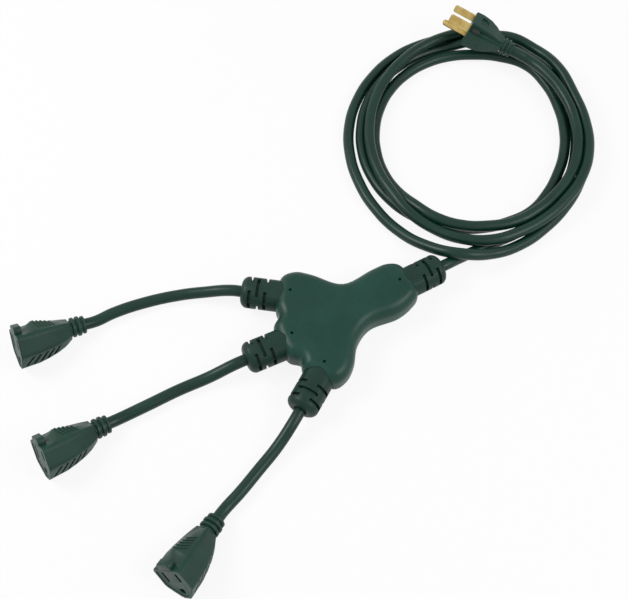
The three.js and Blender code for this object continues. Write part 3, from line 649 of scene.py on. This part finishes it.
def withPoints(ring, spacing):
    # more points along the straight sides
    dense = []
    for index, point in enumerate(ring):
        following = ring[(index + 1) % len(ring)]
        parts = max(1, round((following - point).length / spacing))
        dense += [point.lerp(following, part / parts) for part in range(parts)]
    return dense


def stationAt(stations, back):
    for first, second in zip(stations, stations[1:]):
        if back <= second[0] or second is stations[-1]:
            share = min(max((back - first[0]) / (second[0] - first[0]), 0), 1)
            return [one + (two - one) * share for one, two in zip(first[1:], second[1:])]


def drawnBack(ring, backs, section, name):
    bm = bmesh.new()
    flat = [Vector((point.x, point.y, 0)) for point in ring]
    loop = [bm.verts.new(section(point.x, point.y, backs[0]) * mm) for point in flat]
    edges = [bm.edges.new((loop[index - 1], loop[index])) for index in range(len(loop))]
    bm.faces.new(loop)
    for back in backs[1:]:
        grown = bmesh.ops.extrude_edge_only(bm, edges=edges)["geom"]
        edges = [item for item in grown if isinstance(item, bmesh.types.BMEdge)]
        fresh = [item for item in grown if isinstance(item, bmesh.types.BMVert)]
        # each new point takes the place of the one that it grew from
        order = {vertex: index for index, vertex in enumerate(loop)}
        following = [None] * len(loop)
        for vertex in fresh:
            joinedTo = [edge.other_vert(vertex) for edge in vertex.link_edges]
            following[next(order[near] for near in joinedTo if near in order)] = vertex
        for vertex, point in zip(following, flat):
            vertex.co = section(point.x, point.y, back) * mm
        loop = following
    bm.faces.new(loop)
    bmesh.ops.recalc_face_normals(bm, faces=bm.faces)
    return meshOf(bm, name)


def ringedEnd(end, start, rings, ringRadius, core, endStep=0.7):
    # the ribbed sleeve behind the body, from its free end
    pitch = (start - end) / rings
    groove = pitch * 0.38
    profile = [(0, end), (ringRadius - endStep - 1.1, end)]
    for index in range(rings):
        low = end + index * pitch
        radius = ringRadius - (endStep if index == 0 else 0)
        if index:
            profile.append((radius - 0.5, low))
        profile += [(radius, low + 0.5), (radius, low + pitch - groove - 0.4),
                    (radius - 0.4, low + pitch - groove), (core, low + pitch - groove), (core, low + pitch)]
    profile += [(core, start + 2), (0, start + 2)]
    return spun(profile, 64, "rings")


def joined(meshes, name):
    bm = bmesh.new()
    for mesh in meshes:
        bm.from_mesh(mesh)
    return meshOf(bm, name)


connector = {
    "half": 13.6, "top": 7.2, "low": -8.4, "bottom": -18, "tip": 4, "corner": 1.6,
    "body": 38, "sleeve": 11, "rings": 3, "ringRadius": 7, "core": 5.2,
    "faceWall": 2.6, "wall": 1.8, "cavity": 28, "faceRim": 1.5, "faceSink": 0.5,
    "tabHalf": 6.25, "tabTop": 12, "tabThickness": 5.2, "tabCorner": 2.6,
    "grooves": 5, "grooveStart": 6, "groovePitch": 5, "grooveWidth": 1.7, "grooveDepth": 1,
    "grooveSlant": 28,
    # distance behind the face, share of the width, share of the depth, height of the crest
    "stations": ((0, 1, 1, 0), (6, 0.97, 0.98, 0.2), (13, 0.92, 0.96, 5.4), (20, 0.84, 0.88, 3.8),
                 (27, 0.73, 0.77, 1.6), (33, 0.59, 0.63, 0.2), (38, 0.45, 0.43, -1)),
    "chevrons": 5, "chevronStart": 14.5, "chevronPitch": 2.6,
}
blades = {
    "line": 6.35, "neutral": 7.9, "thickness": 1.5, "spacing": 12.7,
    "groundDrop": 11.9, "groundRadius": 2.38,
}


def connectorRing(inset=0, corner=None):
    slant = inset * (math.sqrt(2) - 1)
    half = connector["half"] - inset
    tip = connector["tip"] - slant
    low = connector["low"] + slant
    corners = [(half, connector["top"] - inset), (-half, connector["top"] - inset), (-half, low),
               (-tip, connector["bottom"] + inset), (tip, connector["bottom"] + inset), (half, low)]
    return withPoints(rounded(corners, connector["corner"] if corner is None else corner), 2.2)


def connectorSection(x, y, back, crested=True):
    width, depth, crest = stationAt(connector["stations"], back)
    if y <= 0:
        return Vector((x * width, y * depth, -back))
    peak = 1 - min(abs(x) / connector["half"], 1)
    rise = crest * peak * min(y / connector["top"], 1) if crested else 0
    return Vector((x * width, y * (1 + (depth - 1) * 0.35) + rise, -back))


def innerSection(x, y, back):
    return connectorSection(x, y, back, crested=False)


def faceOpenings(front, back, clearance, flip=1):
    # two blade slots and the ground hole with its flat side
    height = front - back
    middle = (front + back) / 2
    wide = blades["thickness"] + 2 * clearance
    half = blades["spacing"] / 2
    radius = blades["groundRadius"] + clearance / 2
    arc = [Vector((radius * math.cos(angle), radius * math.sin(angle))) for angle in (
        math.pi + math.pi * step / 16 for step in range(17))]
    ground = arc + [Vector((radius, radius * 0.7)), Vector((-radius, radius * 0.7))]
    hole = drawnBack(ground, (-front, -back),
                     lambda x, y, depth: Vector((x, y - blades["groundDrop"], -depth)), "groundOpening")
    return [
        block((wide, blades["line"] + 2 * clearance, height), (flip * half, 0, middle)),
        block((wide, blades["neutral"] + 2 * clearance, height), (-flip * half, 0, middle)),
        hole,
    ]


def gripCutters():
    middleX = (connector["half"] + connector["tip"]) / 2
    middleY = (connector["low"] + connector["bottom"]) / 2
    length = math.hypot(connector["half"] - connector["tip"], connector["low"] - connector["bottom"])
    cutters = []
    for index in range(connector["grooves"]):
        back = connector["grooveStart"] + index * connector["groovePitch"]
        width, depth, crest = stationAt(connector["stations"], back)
        for side in (-1, 1):
            turn = Matrix.Rotation(side * math.radians(45), 4, "Z")
            turn = turn @ Matrix.Rotation(math.radians(side * connector["grooveSlant"]), 4, "Y")
            cutters.append(block((length * 0.8, 2 * connector["grooveDepth"], connector["grooveWidth"]),
                                 (side * middleX * width, middleY * depth, -back), turn=turn))
    return cutters


def tabShape():
    half, top = connector["tabHalf"], connector["tabTop"]
    arc = connector["tabCorner"]
    outline = []
    for centre, start in ((half - arc, 0), (-half + arc, 90)):
        for step in range(9):
            angle = math.radians(start + step * 90 / 8)
            outline.append(Vector((centre + arc * math.cos(angle), top - arc + arc * math.sin(angle))))
    outline += [Vector((-half, connector["top"] - 1)), Vector((half, connector["top"] - 1))]
    tab = drawnBack(outline, (0, connector["tabThickness"]),
                    lambda x, y, back: Vector((x, y, -back)), "tab")
    return softened(tab, 0.5, 3)


def chevronRibs():
    # fine V-shaped ribs along the crest behind the tab
    bars = []
    for index in range(connector["chevrons"]):
        back = connector["chevronStart"] + index * connector["chevronPitch"]
        for side in (-1, 1):
            reach = connector["half"] * 0.62
            near = connectorSection(side * 0.6, connector["top"], back)
            far = connectorSection(side * reach, connector["top"], back + 2.4)
            along = (far - near).normalized()
            middle = (near + far) / 2
            upright = Vector((0, 1, 0))
            across = along.cross(upright).normalized()
            upright = across.cross(along)
            turn = Matrix((along, upright, across)).transposed().to_4x4()
            bars.append(softened(block(((far - near).length + 1, 0.9, 0.9), middle, turn=turn), 0.3))
    return bars


def connectorMesh():
    length = connector["body"] + connector["sleeve"]
    backs = [0, 1.5, 3, 4.5, 6, 7.5, 9, 10.5, 12, 13, 14.5, 16, 18, 20, 22, 24, 26, 28, 30, 32, 34, 36, 38]
    shell = drawnBack(connectorRing(), backs, connectorSection, "connectorShell")
    sink = drawnBack(connectorRing(connector["faceRim"]), (-1, connector["faceSink"]),
                     innerSection, "faceSink")
    cavity = drawnBack(connectorRing(connector["wall"], 0.6),
                       (connector["faceWall"], 8, 14, 20, connector["cavity"]), innerSection, "cavity")
    cutters = [sink, cavity] + faceOpenings(1, -connector["faceWall"] - 1, 0.35) + gripCutters()
    cutters.append(rod(cordBore, -connector["body"] - 2, -connector["cavity"] + 1))
    shell = softened(carved(shell, cutters), 0.3)
    rings = carved(ringedEnd(-length, -connector["body"], connector["rings"], connector["ringRadius"],
                             connector["core"]), [rod(cordBore, -length - 1, -connector["body"] + 4)])
    return joined([shell, rings, tabShape()] + chevronRibs(), "connector")


faceMatrix = Matrix.Translation(millimetres(0, 0, connector["body"] + connector["sleeve"]))
connectorShape = connectorMesh()
for name, place in connectors.items():
    mesh = connectorShape.copy()
    lying = lyingFrame(place["end"], place["heading"], connectorPitch, connectorRoll)
    mesh.transform(lying @ faceMatrix)
    addPiece("bodyOf" + titled(name), mesh, "connector", name + "_body")
print("connectors made")

plugBody = {
    "half": 13.6, "top": 6.6, "bottom": -17.4, "corner": 6, "body": 28.5, "sleeve": 9.5, "rings": 3,
    "ringRadius": 6.6, "core": 5.2, "cordDrop": -4.5,
    "thumbRadius": 4.2, "thumbDepth": 1.4, "thumbBack": 8,
    "ledgeWidth": 12, "ledgeDepth": 4, "ledgeBack": 4.3, "ledgeAhead": 4.45, "rim": 0.45,
    # distance behind the face, share of the width, share of the depth
    "stations": ((0, 0.95, 1), (6, 1, 1), (13, 0.92, 0.94), (19, 0.76, 0.78), (24, 0.58, 0.56),
                 (28.5, 0.46, 0.46)),
}


def plugSection(x, y, back):
    width, depth = stationAt(plugBody["stations"], back)
    return Vector((x * width, plugBody["cordDrop"] + (y - plugBody["cordDrop"]) * depth, -back))


def plugMesh():
    half = plugBody["half"]
    corners = [(half, plugBody["top"]), (-half, plugBody["top"]), (-half, plugBody["bottom"]),
               (half, plugBody["bottom"])]
    ring = withPoints(rounded(corners, plugBody["corner"], 8), 2.2)
    backs = [0, 1, 2, 3, 4.5, 6, 7.5, 9, 10.5, 12, 13, 14.5, 16, 17.5, 19, 20.5, 22, 24, 25.5, 27, 28.5]
    shell = drawnBack(ring, backs, plugSection, "plugShell")
    thumb = rod(plugBody["thumbRadius"], -plugBody["thumbDepth"], 2, Matrix.Translation(
        millimetres(0, plugBody["top"], -plugBody["thumbBack"])) @ Matrix.Rotation(-math.pi / 2, 4, "X"))
    # the front of the round recess stays filled, so that it reads as a D
    ledge = block((plugBody["ledgeWidth"], plugBody["ledgeDepth"], plugBody["ledgeBack"]),
                  (0, plugBody["top"], plugBody["ledgeAhead"] - plugBody["thumbBack"]))
    thumb = carved(thumb, [ledge])
    openings = faceOpenings(1, -2.5, 0.15, flip=-1)
    shell = softened(carved(shell, [thumb] + openings), plugBody["rim"], 3)
    length = plugBody["body"] + plugBody["sleeve"]
    rings = ringedEnd(-length, -plugBody["body"], plugBody["rings"], plugBody["ringRadius"],
                      plugBody["core"])
    rings = carved(rings, [rod(cordBore, -length - 1, -plugBody["body"] + 4)])
    rings.transform(Matrix.Translation(millimetres(0, plugBody["cordDrop"], 0)))
    return joined([shell, rings], "plug")


plugFace = plugMatrix @ Matrix.Translation(
    millimetres(0, -plugBody["cordDrop"], plugBody["body"] + plugBody["sleeve"]))
mesh = plugMesh()
mesh.transform(plugFace)
addPiece("plugShell", mesh, "connector", "plug_body")
print("plug made")


# Finishes of the parts that are kept as they are

kept = {
    "brass": ("crimp_", "_contact_", "plug_blade_", "plug_ground_pin"),
    "insulation": ("splice_block", "_carrier", "plug_bridge"),
    "sleeveGround": ("_wire_ground", "wire_main_ground", "_1_ground", "_2_ground", "_3_ground"),
    "sleeveLine": ("_wire_line", "wire_main_line", "_1_line", "_2_line", "_3_line"),
    "sleeveNeutral": ("_wire_neutral", "wire_main_neutral", "_1_neutral", "_2_neutral", "_3_neutral"),
}
for name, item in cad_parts.items():
    for finish, parts in kept.items():
        if any(part in name for part in parts):
            for place in item.material_slots:
                place.material = materials[finish]
            break
print("inner parts finished")


# What lies along each cord

poles = ("ground", "line", "neutral")
for name, place in connectors.items():
    arm = place["arm"]
    onCord = ["bodyOf" + titled(name), name + "_carrier"]
    onCord += [name + kind + pole for kind in ("_contact_", "_wire_") for pole in poles]
    onArm(arm, relief["length"]) * mm
onCord = ["plugShell", "plug_bridge", "plug_blade_line", "plug_blade_neutral", "plug_ground_pin"]
onCord += ["plug_wire_" + pole for pole in poles]
onArm("main", relief["length"]) * mm


# Floor, surroundings and lamps

stage = {"half": 3000, "white": 1, "world": 0.38, "glow": 0.88}  # glow: the floor's share of white


def seenRays(nodes):
    # 1 where the camera, a reflection or glass looks, 0 for the light that the surroundings give
    camera, glossy, transmission = (
        nodes.make("ShaderNodeLightPath", {}, {}, output=f"Is {kind} Ray")
        for kind in ("Camera", "Glossy", "Transmission"))
    return camera + glossy + transmission


bm = bmesh.new()
bmesh.ops.create_grid(bm, x_segments=1, y_segments=1, size=stage["half"] * mm)
floor = bpy.data.objects.new("floor", meshOf(bm, "floor"))
bpy.context.scene.collection.objects.link(floor)
floorMaterial = bpy.data.materials.new("paleFloor")
floorMaterial.use_nodes = True
nodes = Nodes(floorMaterial.node_tree)
seen = seenRays(nodes)
matte = nodes.make("ShaderNodeBsdfPrincipled", {}, {
    "Base Color": (0.95, 0.95, 0.95, 1), "Roughness": 0.9, "Specular IOR Level": 0.1})
glow = nodes.make("ShaderNodeEmission", {}, {"Color": (1, 1, 1, 1), "Strength": stage["white"]})
mixed = nodes.make("ShaderNodeMixShader", {}, {0: seen * stage["glow"], 1: matte, 2: glow})
nodes.make("ShaderNodeOutputMaterial", {}, {"Surface": mixed})
floor.data.materials.append(floorMaterial)

world = bpy.data.worlds.new("studio")
bpy.context.scene.world = world
world.use_nodes = True
nodes = Nodes(world.node_tree)
seen = seenRays(nodes)
dim = nodes.make("ShaderNodeBackground", {}, {"Color": (1, 1, 1, 1), "Strength": stage["world"]})
white = nodes.make("ShaderNodeBackground", {}, {"Color": (1, 1, 1, 1), "Strength": stage["white"]})
mixed = nodes.make("ShaderNodeMixShader", {}, {0: seen, 1: dim, 2: white})
nodes.make("ShaderNodeOutputWorld", {}, {"Surface": mixed})

lamps = {
    "key": {"place": (-1000, 250, 1000), "size": 600, "power": 10},
    "fill": {"place": (950, -350, 900), "size": 700, "power": 7},
}
for name, look in lamps.items():
    lamp = bpy.data.lights.new(name, "AREA")
    lamp.shape = "SQUARE"
    lamp.size = look["size"] * mm
    lamp.energy = look["power"]
    holder = bpy.data.objects.new(name, lamp)
    holder.location = millimetres(*look["place"])
    holder.rotation_euler = (-holder.location).to_track_quat("-Z", "Y").to_euler()
    bpy.context.scene.collection.objects.link(holder)
print("stage and lamps set")
